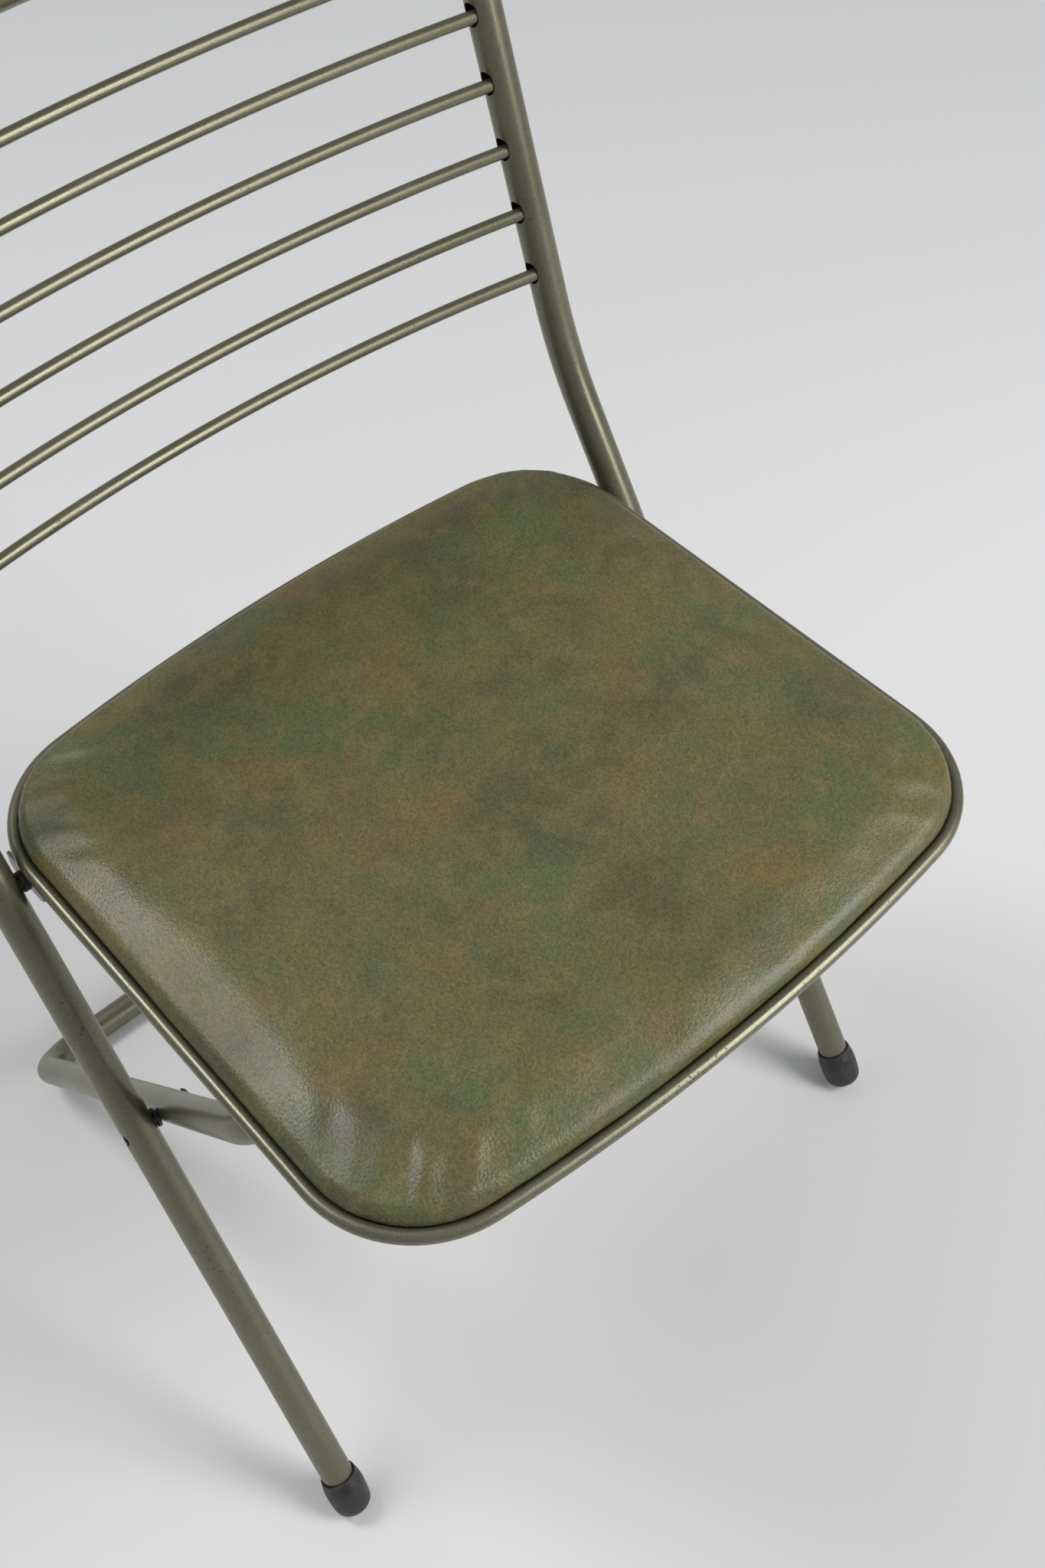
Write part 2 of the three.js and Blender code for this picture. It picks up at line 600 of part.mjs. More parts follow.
// Each side's own pieces. The left side is the right side mirrored.
for (const [side, sign] of [['right', 1], ['left', -1]]) {
  const half = new THREE.Group();
  half.scale.x = sign;
  open.add(half);
  addPiece(half, `foot_tip_${side}`, footTip(), blackRubber);
  addPiece(half, `crossing_rivet_${side}`, pivotRivet(crossing, rearInnerFace - GAP), darkSteel);
  addPiece(half, `crossing_washer_${side}`,
    washer(crossing, rearOuterFace + GAP, crossing.x - MAIN_TUBE / 2 - GAP), blackRubber);
  addPiece(half, `seat_rivet_${side}`, pivotRivet(seatPivot, lugInnerFace - GAP), darkSteel);
  addPiece(half, `seat_washer_${side}`,
    washer(seatPivot, lugOuterFace + GAP, seatPivot.x - MAIN_TUBE / 2 - GAP), blackRubber);
  addPiece(half, `seat_lug_${side}`, seatLug(), olivePaint);
  addPiece(half, `bar_stop_${side}`, barStop(), olivePaint);
  for (const [place, end] of [['front', -1], ['rear', 1]]) {
    const screw = addPiece(half, `pad_screw_${place}_${side}`, padScrew(), zincSteel);
    screw.position.set(screwAcross, end * screwAlong, 0);
  }
}

// The open chair reaches from the seat's front edge to the back of the top rail's bow.
chair.updateMatrixWorld(true);
const reach = new THREE.Box3().setFromObject(open, true);
open.position.y = -(reach.min.y + reach.max.y) / 2;

export default chair;
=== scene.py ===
# %% [markdown]
# # A folding chair of bent steel tube
#
# The chair comes in as a finished CAD model, in metres: it stands on the floor, X is to the right and the
# front looks towards -Y. Its shapes are plain there. In this lesson each piece is modelled again with the
# detail that the real one shows, at the place that the CAD model gives, and gets its own finish.

# %% Load the CAD model
import math

import bmesh
import bpy
from mathutils import Matrix, Vector


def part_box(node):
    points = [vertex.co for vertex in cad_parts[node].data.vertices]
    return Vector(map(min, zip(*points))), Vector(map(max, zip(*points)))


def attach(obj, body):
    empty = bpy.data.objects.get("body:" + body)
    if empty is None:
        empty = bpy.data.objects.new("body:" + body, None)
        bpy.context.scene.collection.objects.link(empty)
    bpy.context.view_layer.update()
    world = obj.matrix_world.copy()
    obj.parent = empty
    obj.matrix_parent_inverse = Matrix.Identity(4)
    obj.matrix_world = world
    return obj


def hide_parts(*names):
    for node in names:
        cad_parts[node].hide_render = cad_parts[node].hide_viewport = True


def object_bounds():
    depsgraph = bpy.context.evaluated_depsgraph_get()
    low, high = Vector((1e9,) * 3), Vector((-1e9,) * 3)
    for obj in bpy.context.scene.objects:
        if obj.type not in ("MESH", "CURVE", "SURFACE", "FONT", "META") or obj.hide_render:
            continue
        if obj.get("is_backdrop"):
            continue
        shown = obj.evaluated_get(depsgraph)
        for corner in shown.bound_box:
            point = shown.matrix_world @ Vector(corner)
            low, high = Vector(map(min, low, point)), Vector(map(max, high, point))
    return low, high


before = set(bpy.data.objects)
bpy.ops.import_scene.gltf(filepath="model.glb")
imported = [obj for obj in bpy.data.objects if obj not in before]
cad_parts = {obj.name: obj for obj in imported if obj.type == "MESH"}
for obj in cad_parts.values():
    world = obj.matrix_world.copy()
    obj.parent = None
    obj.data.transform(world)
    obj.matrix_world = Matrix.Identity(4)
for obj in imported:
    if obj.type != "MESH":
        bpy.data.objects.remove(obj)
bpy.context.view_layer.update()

MM = 0.001
GAP = 0.3 * MM
ACROSS = Vector((1, 0, 0))
UP = Vector((0, 0, 1))

# %% [markdown]
# ## The camera
#
# The view looks down on the seat from the front left, with a hair of roll. The camera's three own
# directions are worked out from two angles, and its matrix is built from them, so that nothing depends on
# the order of turns.

# %% Place the camera
AZIMUTH = math.radians(-40.565)
ELEVATION = math.radians(52.154)
ROLL = math.radians(-1.427)

towards_camera = Vector((
    math.sin(AZIMUTH) * math.cos(ELEVATION),
    -math.cos(AZIMUTH) * math.cos(ELEVATION),
    math.sin(ELEVATION),
))
level = Vector((math.cos(AZIMUTH), math.sin(AZIMUTH), 0))
upright = towards_camera.cross(level)
camera_right = level * math.cos(ROLL) + upright * math.sin(ROLL)
camera_up = upright * math.cos(ROLL) - level * math.sin(ROLL)

bpy.ops.object.camera_add(location=(-0.39494, -0.55085, 1.24773))
camera = bpy.context.object
camera.name = "camera"
camera.data.lens = 44.717
camera.data.sensor_width = 36
turn = Matrix((camera_right, camera_up, towards_camera)).transposed()
camera.rotation_euler = turn.to_euler()
bpy.context.scene.camera = camera
print("camera at", [round(c, 3) for c in camera.location], "lens", camera.data.lens)

# %% [markdown]
# ## Floor and light
#
# A plain pale floor and square soft boxes, as in a small studio. One high key light stands at the right of
# the front and gives the faint shadows. Two weaker ones are there for the reflections, one high behind the
# left side and one low in front: a satin vinyl pad shows its roundness only where something bright is
# mirrored along its edges.

# %% Lay the floor
bpy.ops.mesh.primitive_plane_add(size=1, location=(0, 0, 0))
floor = bpy.context.object
floor.name = "floor"
bpy.ops.transform.resize(value=(9, 9, 1))
bpy.ops.object.transform_apply(location=True, rotation=True, scale=True)
bpy.ops.object.mode_set(mode="EDIT")
bpy.ops.mesh.subdivide(number_cuts=3)
bpy.ops.object.mode_set(mode="OBJECT")
floor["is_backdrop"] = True

paper = bpy.data.materials.new("floor_paper")
paper.use_nodes = True
paper_shader = paper.node_tree.nodes["Principled BSDF"]
paper_shader.inputs["Base Color"].default_value = (0.74, 0.735, 0.73, 1)
paper_shader.inputs["Roughness"].default_value = 0.75
floor.data.materials.append(paper)


# %% Hang the soft boxes
def soft_box(name, place, aim, size, power, colour=(1, 1, 1)):
    """A square area light at a place, facing the point that it is aimed at."""
    bpy.ops.object.light_add(type="AREA", location=place)
    lamp = bpy.context.object
    lamp.name = name
    lamp.data.shape = "SQUARE"
    lamp.data.size = size
    lamp.data.energy = power
    lamp.data.color = colour
    facing = Vector(aim) - Vector(place)
    lamp.rotation_euler = facing.to_track_quat("-Z", "Y").to_euler()
    return lamp


soft_box("key", (1.35, -1.75, 2.4), (0, 0, 0.3), 1.3, 46)
soft_box("edge_left", (-0.95, 1.35, 2.6), (0, 0, 0.4), 0.9, 30)
soft_box("edge_front", (0.95, -1.95, 1.15), (0, 0, 0.4), 0.7, 12)

studio = bpy.data.worlds.new("studio")
bpy.context.scene.world = studio
studio.use_nodes = True
studio.node_tree.nodes["Background"].inputs["Color"].default_value = (0.93, 0.96, 1.0, 1)
studio.node_tree.nodes["Background"].inputs["Strength"].default_value = 0.38
bpy.context.scene.view_settings.view_transform = "Standard"


# %% [markdown]
# ## Finishes: effects that several of them share
#
# Paint, vinyl and rubber all have speckle, wear and a fine bump. Each such effect is a node group, built
# once with named inputs, and placed in each material with its own values. A small helper adds a node and
# sets or links its inputs, so that each line of a material says one thing.

# %% A helper for nodes
def put(tree, kind, inputs=None, **settings):
    """Adds a node. An input is a value to set or another node's output to link."""
    node = tree.nodes.new(kind)
    for key, value in settings.items():
        setattr(node, key, value)
    for key, value in (inputs or {}).items():
        socket = node.inputs[key]
        if isinstance(value, bpy.types.NodeSocket):
            tree.links.new(value, socket)
        else:
            socket.default_value = value
    return node


def new_effect(name, takes, gives):
    """An empty node group with named inputs and outputs, each with its kind and first value."""
    group = bpy.data.node_groups.new(name, "ShaderNodeTree")
    for socket, (kind, value) in takes.items():
        made = group.interface.new_socket(socket, in_out="INPUT", socket_type=kind)
        if value is not None:
            made.default_value = value
    for socket, kind in gives.items():
        group.interface.new_socket(socket, in_out="OUTPUT", socket_type=kind)
    start = group.nodes.new("NodeGroupInput")
    end = group.nodes.new("NodeGroupOutput")
    return group, start.outputs, end.inputs


def use_effect(tree, group, inputs):
    """Places an effect in a material with the material's own values."""
    return put(tree, "ShaderNodeGroup", inputs, node_tree=group).outputs


def maths(tree, operation, first, second=0.0, clamp=False):
    """One sum on values or outputs."""
    made = put(tree, "ShaderNodeMath", {0: first, 1: second}, operation=operation, use_clamp=clamp)
    return made.outputs[0]


def between(tree, value, low, high, to_low=0.0, to_high=1.0):
    """Spreads a value's range over another range, smoothly at its ends."""
    made = put(tree, "ShaderNodeMapRange", {0: value, 1: low, 2: high, 3: to_low, 4: to_high},
               interpolation_type="SMOOTHSTEP")
    return made.outputs[0]


def blend(tree, share, first, second, kind="MIX"):
    """Mixes two colours."""
    made = put(tree, "ShaderNodeMix", {0: share, 6: first, 7: second}, data_type="RGBA", blend_type=kind)
    return made.outputs[2]


FLOAT = "NodeSocketFloat"
VECTOR = "NodeSocketVector"
COLOUR = "NodeSocketColor"

# %% Speckle: small cells of random brightness
speckle, takes, gives = new_effect(
    "speckle",
    {"Vector": (VECTOR, None), "Size": (FLOAT, 0.5), "Strength": (FLOAT, 0.3)},
    {"Brightness": FLOAT},
)
cells_per_metre = maths(speckle, "DIVIDE", 1000.0, takes["Size"])
cells = put(speckle, "ShaderNodeTexVoronoi", {"Vector": takes["Vector"], "Scale": cells_per_metre})
centred = maths(speckle, "SUBTRACT", cells.outputs["Color"], 0.5)
swing = maths(speckle, "MULTIPLY", centred, takes["Strength"])
speckle.links.new(maths(speckle, "ADD", swing, 1.0), gives["Brightness"])

# %% Patches: soft clouds with a share of the surface
patches, takes, gives = new_effect(
    "patches",
    {
        "Vector": (VECTOR, None), "Size": (FLOAT, 40.0), "Share": (FLOAT, 0.5),
        "Softness": (FLOAT, 0.1), "Detail": (FLOAT, 3.0),
    },
    {"Mask": FLOAT},
)
clouds_per_metre = maths(patches, "DIVIDE", 1000.0, takes["Size"])
clouds = put(patches, "ShaderNodeTexNoise",
             {"Vector": takes["Vector"], "Scale": clouds_per_metre, "Detail": takes["Detail"]})
middle_value = maths(patches, "SUBTRACT", 0.5, maths(patches, "MULTIPLY",
                     maths(patches, "SUBTRACT", takes["Share"], 0.5), 0.4))
low_value = maths(patches, "SUBTRACT", middle_value, takes["Softness"])
high_value = maths(patches, "ADD", middle_value, takes["Softness"])
mask = between(patches, clouds.outputs["Fac"], low_value, high_value)
patches.links.new(mask, gives["Mask"])

# %% Chips: small knocks with a sharp edge, gathered where a cloud allows them
chips, takes, gives = new_effect(
    "chips",
    {"Vector": (VECTOR, None), "Size": (FLOAT, 3.0), "Amount": (FLOAT, 0.1), "Gather": (FLOAT, 60.0)},
    {"Mask": FLOAT},
)
knocks_per_metre = maths(chips, "DIVIDE", 1000.0, takes["Size"])
knocks = put(chips, "ShaderNodeTexNoise",
             {"Vector": takes["Vector"], "Scale": knocks_per_metre, "Detail": 3.0, "Roughness": 0.6})
gathers_per_metre = maths(chips, "DIVIDE", 1000.0, takes["Gather"])
gather = put(chips, "ShaderNodeTexNoise", {"Vector": takes["Vector"], "Scale": gathers_per_metre})
leave = maths(chips, "SUBTRACT", 0.78, maths(chips, "MULTIPLY", takes["Amount"], 0.3))
lowered = maths(chips, "ADD", knocks.outputs["Fac"],
                maths(chips, "MULTIPLY", maths(chips, "SUBTRACT", gather.outputs["Fac"], 0.5), 0.35))
chips.links.new(between(chips, lowered, leave, maths(chips, "ADD", leave, 0.02)), gives["Mask"])

# %% Grain: the fine unevenness of a skin, as a height
grain, takes, gives = new_effect(
    "grain",
    {"Vector": (VECTOR, None), "Size": (FLOAT, 1.0), "Sharpness": (FLOAT, 0.5)},
    {"Height": FLOAT},
)
grains_per_metre = maths(grain, "DIVIDE", 1000.0, takes["Size"])
pebbles = put(grain, "ShaderNodeTexVoronoi", {"Vector": takes["Vector"], "Scale": grains_per_metre},
              feature="SMOOTH_F1")
ripple = put(grain, "ShaderNodeTexNoise",
             {"Vector": takes["Vector"], "Scale": grains_per_metre, "Detail": 2.0})
pebble_height = maths(grain, "MULTIPLY", pebbles.outputs["Distance"], takes["Sharpness"])
grain.links.new(maths(grain, "SUBTRACT", ripple.outputs["Fac"], pebble_height), gives["Height"])
print("effects:", [g.name for g in bpy.data.node_groups])


# %% [markdown]
# ## The finishes
#
# The tubes and the seat pan share one olive bronze enamel: fine metal flake under a satin coat, with small
# dark chips. It could be a flat colour with a gloss, but then it would look like plastic, because the flake
# is what makes the brightness fall off so fast away from the light.

# %% Start a finish
def new_finish(name, colour, roughness, metallic=0.0):
    """A material whose pattern follows Object coordinates, and its parts for further nodes."""
    material = bpy.data.materials.new(name)
    material.use_nodes = True
    tree = material.node_tree
    shader = tree.nodes["Principled BSDF"]
    shader.inputs["Base Color"].default_value = (*colour, 1)
    shader.inputs["Roughness"].default_value = roughness
    shader.inputs["Metallic"].default_value = metallic
    place = put(tree, "ShaderNodeTexCoord").outputs["Object"]
    return material, tree, shader, place


def bump(tree, shader, height, depth, distance=0.001):
    """Turns a height into the shader's normal."""
    made = put(tree, "ShaderNodeBump", {"Height": height, "Strength": depth, "Distance": distance})
    tree.links.new(made.outputs["Normal"], shader.inputs["Normal"])


# %% Olive enamel
olive_paint, tree, shader, place = new_finish("olive_enamel", (0.17, 0.165, 0.085), 0.34, 0.7)
flake = use_effect(tree, speckle, {"Vector": place, "Size": 0.45, "Strength": 0.5})["Brightness"]
tone = use_effect(tree, patches, {"Vector": place, "Size": 55.0, "Softness": 0.25})["Mask"]
knocked = use_effect(tree, chips, {"Vector": place, "Size": 2.2, "Amount": 0.25, "Gather": 45.0})["Mask"]
colour = blend(tree, tone, (0.150, 0.146, 0.092, 1), (0.178, 0.170, 0.112, 1))
flaked = put(tree, "ShaderNodeVectorMath", {0: colour, "Scale": flake}, operation="SCALE").outputs[0]
shown = blend(tree, knocked, flaked, (0.05, 0.04, 0.03, 1))
tree.links.new(shown, shader.inputs["Base Color"])
dull = between(tree, tone, 0.0, 1.0, 0.32, 0.40)
tree.links.new(maths(tree, "ADD", dull, maths(tree, "MULTIPLY", knocked, 0.3)), shader.inputs["Roughness"])
tree.links.new(between(tree, knocked, 0.0, 1.0, 0.7, 0.1), shader.inputs["Metallic"])
shader.inputs["Coat Weight"].default_value = 0.25
shader.inputs["Coat Roughness"].default_value = 0.18
peel = use_effect(tree, grain, {"Vector": place, "Size": 1.6, "Sharpness": 0.2})["Height"]
bump(tree, shader, maths(tree, "SUBTRACT", peel, knocked), 0.12, 0.0004)

# %% [markdown]
# ## Mottled vinyl
#
# The cover has soft clouds of ochre, green and dark olive in it, with fine specks over them. One noise with
# many colours would look like bands, so each colour lies in clouds of its own, laid one over another.

# %% Mottled vinyl
vinyl, tree, shader, place = new_finish("mottled_vinyl", (0.115, 0.108, 0.036), 0.40)


def cloud_layer(colour, shift, size, share, strength, tint):
    """Lays one more soft colour over the vinyl in clouds of its own."""
    moved = put(tree, "ShaderNodeMapping", {"Vector": place, "Location": shift}).outputs[0]
    settings = {"Vector": moved, "Size": size, "Share": share, "Softness": 0.13, "Detail": 6.0}
    mask = use_effect(tree, patches, settings)["Mask"]
    return blend(tree, maths(tree, "MULTIPLY", mask, strength), colour, tint)


colour = cloud_layer((0.108, 0.103, 0.031, 1), (0, 0, 0), 48.0, 0.45, 0.75, (0.150, 0.098, 0.030, 1))
colour = cloud_layer(colour, (0.7, 0.3, 0.1), 44.0, 0.40, 0.65, (0.072, 0.108, 0.044, 1))
colour = cloud_layer(colour, (0.2, 0.9, 0.4), 60.0, 0.40, 0.55, (0.066, 0.062, 0.034, 1))
colour = cloud_layer(colour, (0.5, 0.6, 0.8), 14.0, 0.35, 0.40, (0.165, 0.130, 0.048, 1))
dots = use_effect(tree, speckle, {"Vector": place, "Size": 0.9, "Strength": 0.75})["Brightness"]
colour = put(tree, "ShaderNodeVectorMath", {0: colour, "Scale": dots}, operation="SCALE").outputs[0]
tree.links.new(colour, shader.inputs["Base Color"])
rubbed = use_effect(tree, patches, {"Vector": place, "Size": 70.0, "Softness": 0.2})["Mask"]
tree.links.new(between(tree, rubbed, 0.0, 1.0, 0.36, 0.44), shader.inputs["Roughness"])
pebble = use_effect(tree, grain, {"Vector": place, "Size": 1.3, "Sharpness": 0.8})["Height"]
bump(tree, shader, pebble, 0.35, 0.0005)

# %% Rubber, dark steel and zinc: two tones in small patches
def two_tone_finish(name, first, second, size, roughness, metallic, grain_size):
    """A plain finish that varies between two tones, in colour and in roughness."""
    material, tree, shader, place = new_finish(name, first, roughness[0], metallic)
    mask = use_effect(tree, patches, {"Vector": place, "Size": size, "Softness": 0.2})["Mask"]
    tree.links.new(blend(tree, mask, (*first, 1), (*second, 1)), shader.inputs["Base Color"])
    tree.links.new(between(tree, mask, 0.0, 1.0, *roughness), shader.inputs["Roughness"])
    skin = use_effect(tree, grain, {"Vector": place, "Size": grain_size, "Sharpness": 0.4})["Height"]
    bump(tree, shader, skin, 0.2, 0.0003)
    return material


black_rubber = two_tone_finish(
    "black_rubber", (0.012, 0.012, 0.013), (0.030, 0.029, 0.028), 9.0, (0.34, 0.55), 0.0, 0.9)
black_washer = two_tone_finish(
    "black_fibre", (0.014, 0.013, 0.012), (0.022, 0.021, 0.019), 3.0, (0.50, 0.62), 0.0, 0.5)
dark_steel = two_tone_finish(
    "dark_steel", (0.090, 0.088, 0.075), (0.140, 0.130, 0.100), 4.0, (0.36, 0.55), 0.85, 0.8)
zinc_steel = two_tone_finish(
    "zinc_steel", (0.420, 0.420, 0.400), (0.300, 0.300, 0.270), 3.0, (0.28, 0.50), 0.9, 0.6)

# %% Hardboard
hardboard, tree, shader, place = new_finish("hardboard", (0.19, 0.11, 0.05), 0.8)
fibre = use_effect(tree, speckle, {"Vector": place, "Size": 0.7, "Strength": 0.4})["Brightness"]
fibre_colour = put(tree, "ShaderNodeVectorMath", {0: (0.19, 0.11, 0.05), "Scale": fibre}, operation="SCALE")
tree.links.new(fibre_colour.outputs[0], shader.inputs["Base Color"])
tree.links.new(between(tree, fibre, 0.7, 1.3, 0.7, 0.9), shader.inputs["Roughness"])
felt = use_effect(tree, grain, {"Vector": place, "Size": 0.9, "Sharpness": 0.5})["Height"]
bump(tree, shader, felt, 0.3, 0.0004)

FINISHES = {
    "olive_paint": olive_paint, "vinyl": vinyl, "black_rubber": black_rubber, "black_washer": black_washer,
    "dark_steel": dark_steel, "zinc_steel": zinc_steel, "hardboard": hardboard,
}
print("finishes:", sorted(FINISHES))


# %% [markdown]
# ## Tools for the metal work
#
# Tube is modelled the way it is made: a ring is fed straight, then bent about a centre. Feeding is Extrude
# and bending is Spin. Sheet is drawn as an edge profile and then fed along its track in the same way.

# %% Select, start, feed and bend
def select_nothing():
    if bpy.context.object and bpy.context.object.mode != "OBJECT":
        bpy.ops.object.mode_set(mode="OBJECT")
    bpy.ops.object.select_all(action="DESELECT")


def edit(piece):
    """Goes into edit mode on one piece with all of it selected."""
    select_nothing()
    bpy.context.view_layer.objects.active = piece
    piece.select_set(True)
    bpy.ops.object.mode_set(mode="EDIT")
    bpy.ops.mesh.select_mode(type="VERT")
    bpy.ops.mesh.select_all(action="SELECT")


def pick(piece, kind, test):
    """Selects the vertices, edges or faces whose middle passes a test. The piece is in edit mode."""
    bpy.ops.mesh.select_mode(type=kind)
    bpy.ops.mesh.select_all(action="DESELECT")
    mesh = bmesh.from_edit_mesh(piece.data)
    if kind == "VERT":
        chosen = [v for v in mesh.verts if test(v.co)]
    elif kind == "EDGE":
        chosen = [e for e in mesh.edges if test((e.verts[0].co + e.verts[1].co) / 2)]
    else:
        chosen = [f for f in mesh.faces if test(f.calc_center_median())]
    for part in chosen:
        part.select_set(True)
    mesh.select_flush_mode()
    bmesh.update_edit_mesh(piece.data)
    return len(chosen)


def feed(travel, steps=1):
    """Extrudes what is selected along a straight run."""
    for _ in range(steps):
        bpy.ops.mesh.extrude_region_move(TRANSFORM_OT_translate={"value": tuple(travel / steps)})


def bend(centre, axis, angle, steps):
    """Spins what is selected right-handed about an axis. Blender's Spin counts the other way."""
    bpy.ops.mesh.spin(steps=steps, angle=-angle, center=tuple(centre), axis=tuple(axis))


def close_up(piece):
    """Merges doubles, turns faces outwards and leaves edit mode."""
    bpy.ops.mesh.select_all(action="SELECT")
    bpy.ops.mesh.remove_doubles(threshold=0.01 * MM)
    bpy.ops.mesh.normals_make_consistent(inside=False)
    bpy.ops.object.mode_set(mode="OBJECT")
    return piece


def fill_at(piece, height):
    """Fills the open loop of edges that lies at a height. The piece is in edit mode."""
    bpy.ops.mesh.select_mode(type="EDGE")
    bpy.ops.mesh.select_all(action="DESELECT")
    mesh = bmesh.from_edit_mesh(piece.data)
    for edge in mesh.edges:
        if edge.is_boundary and all(abs(corner.co.z - height) < 0.01 * MM for corner in edge.verts):
            edge.select_set(True)
    bmesh.update_edit_mesh(piece.data)
    bpy.ops.mesh.edge_face_add()


def modify(piece, kind, **settings):
    """Adds a modifier and applies it."""
    select_nothing()
    bpy.context.view_layer.objects.active = piece
    piece.select_set(True)
    modifier = piece.modifiers.new(kind.lower(), kind)
    for key, value in settings.items():
        setattr(modifier, key, value)
    bpy.ops.object.modifier_apply(modifier=modifier.name)
    return piece


def soften_edges(piece, width):
    """Rounds a piece's sharp edges slightly."""
    angle = math.radians(50)
    return modify(piece, "BEVEL", width=width, segments=2, limit_method="ANGLE", angle_limit=angle)


def fit(piece, body, slot, *nodes):
    """Smooths a finished piece, gives it its finish and its body, and hides the CAD nodes that it stands
    for.
    """
    select_nothing()
    bpy.context.view_layer.objects.active = piece
    piece.select_set(True)
    bpy.ops.object.shade_smooth_by_angle(angle=math.radians(35))
    piece.data.materials.clear()
    piece.data.materials.append(FINISHES[slot])
    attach(piece, body)
    if nodes:
        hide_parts(*nodes)
    print(piece.name, len(piece.data.polygons), "faces")


# %% Draw lines, rings and copies
def start_ring(name, centre, heading, radius, sides):
    """A ring of edges across a heading, in edit mode."""
    select_nothing()
    tilt = heading.to_track_quat("Z", "X").to_euler()
    bpy.ops.mesh.primitive_circle_add(vertices=sides, radius=radius, location=centre, rotation=tilt)
    ring = bpy.context.object
    ring.name = name
    bpy.ops.object.transform_apply(location=True, rotation=True, scale=True)
    edit(ring)
    return ring


def draw_line(name, points):
    """A line of edges through points, drawn from one vertex by extruding it, in edit mode."""
    select_nothing()
    bpy.ops.mesh.primitive_plane_add(size=MM, location=points[0])
    line = bpy.context.object
    line.name = name
    bpy.ops.object.transform_apply(location=True, rotation=True, scale=True)
    edit(line)
    bpy.ops.mesh.merge(type="CENTER")
    for start, end in zip(points, points[1:]):
        bpy.ops.mesh.extrude_vertices_move(TRANSFORM_OT_translate={"value": tuple(end - start)})
    bpy.ops.mesh.select_all(action="SELECT")
    return line


def turn_piece(name, profile, base, axis, sides):
    """A piece turned about an axis from pairs of radius and distance along the axis."""
    across = axis.orthogonal().normalized()
    piece = draw_line(name, [base + axis * along + across * radius for radius, along in profile])
    bend(base, axis, math.tau, sides)
    return close_up(piece)


def mirrored_copy(piece, name):
    """The same piece on the chair's other side, with its own mesh."""
    select_nothing()
    piece.select_set(True)
    bpy.context.view_layer.objects.active = piece
    bpy.ops.object.duplicate()
    twin = bpy.context.object
    twin.name = name
    bpy.ops.transform.resize(value=(-1, 1, 1), center_override=(0, 0, 0))
    bpy.ops.object.transform_apply(location=True, rotation=True, scale=True)
    edit(twin)
    return close_up(twin)


def join(name, pieces):
    """Several pieces as one mesh."""
    select_nothing()
    for piece in pieces:
        piece.select_set(True)
    bpy.context.view_layer.objects.active = pieces[0]
    bpy.ops.object.join()
    pieces[0].name = name
    return pieces[0]


def cut_with(piece, cutter):
    """Takes the cutter's shape out of the piece."""
    modify(piece, "BOOLEAN", operation="DIFFERENCE", object=cutter, solver="EXACT")
    bpy.data.objects.remove(cutter)
    return piece


def bent_tube(name, corners, radius, sides, step):
    """A tube's skin through corners, each a point and a bend radius."""
    ends = [point for point, _ in corners]
    tube = start_ring(name, ends[0], ends[1] - ends[0], radius, sides)
    here = ends[0]
    for (before, _), (corner, bend_radius), (after, _) in zip(corners, corners[1:], corners[2:]):
        into = (corner - before).normalized()
        out = (after - corner).normalized()
        angle = into.angle(out)
        taken = bend_radius * math.tan(angle / 2)
        run = corner - into * taken - here
        if run.length > step / 10:
            feed(run, math.ceil(run.length / step))
        axis = into.cross(out).normalized()
        centre = here + run + axis.cross(into) * bend_radius
        bend(centre, axis, angle, math.ceil(max(angle / math.radians(4), angle * bend_radius / step)))
        here = corner + out * taken
    run = ends[-1] - here
    feed(run, math.ceil(run.length / step))
    return close_up(tube)


# %% [markdown]
# ## Where the main frame runs
#
# The CAD model gives fixed points: the washers at the two pivots lie against the leg, and the back rods
# start from the uprights. The leg's line goes through the pivots and the upright's line through the rods,
# and the knee is where the two lines meet.

# %% Measure the main frame's line
MAIN_TUBE = 20 * MM
MAIN_WALL = 1.2 * MM
ROD = 7.5 * MM
ROD_BOW = 31 * MM
ROD_COUNT = 6


def tube_beside(washer):
    """The middle of the tube that a washer lies against."""
    low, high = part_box(washer)
    centre = (low + high) / 2
    return Vector((high.x + GAP + MAIN_TUBE / 2, centre.y, centre.z))


def rod_middle(number):
    low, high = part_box(f"back_rod_{number}")
    return Vector((0, high.y - ROD / 2, low.z + ROD / 2))


crossing = tube_beside("crossing_washer_right")
seat_pivot = tube_beside("seat_washer_right")
leg_up = (seat_pivot - crossing) / (seat_pivot.z - crossing.z)
back_up = (rod_middle(ROD_COUNT) - rod_middle(1)).normalized()
back_out = Vector((0, back_up.z, -back_up.y))


def leg_at(height):
    return crossing + leg_up * (height - crossing.z)


on_back = rod_middle(1) - back_out * ROD_BOW
knee_height = crossing.z + ((on_back - crossing).dot(back_out)) / leg_up.dot(back_out)
knee = leg_at(knee_height)


def upright_at(point):
    """The upright's axis beside a point in the chair's middle."""
    return Vector((knee.x, 0, 0)) + point


print("knee", [round(c, 4) for c in knee], "crossing", [round(c, 4) for c in crossing])

# %% [markdown]
# ## The main frame tube
#
# One tube makes both front legs, both uprights and the bowed top rail. It could be a curve with a round
# bevel, but a fed and bent ring keeps evenly spaced rings, which is what the slots are cut cleanly from. It
# gets its wall with Solidify, and the slots and the rivets' access holes with a Boolean.

# %% Feed and bend the main tube
SIDES = 40
RING_STEP = 9 * MM
RAIL_SWEEP = math.radians(12.5)
CORNER_BEND = 62 * MM
KNEE_BEND = 300 * MM
RAIL_STRAIGHT = 11 * MM

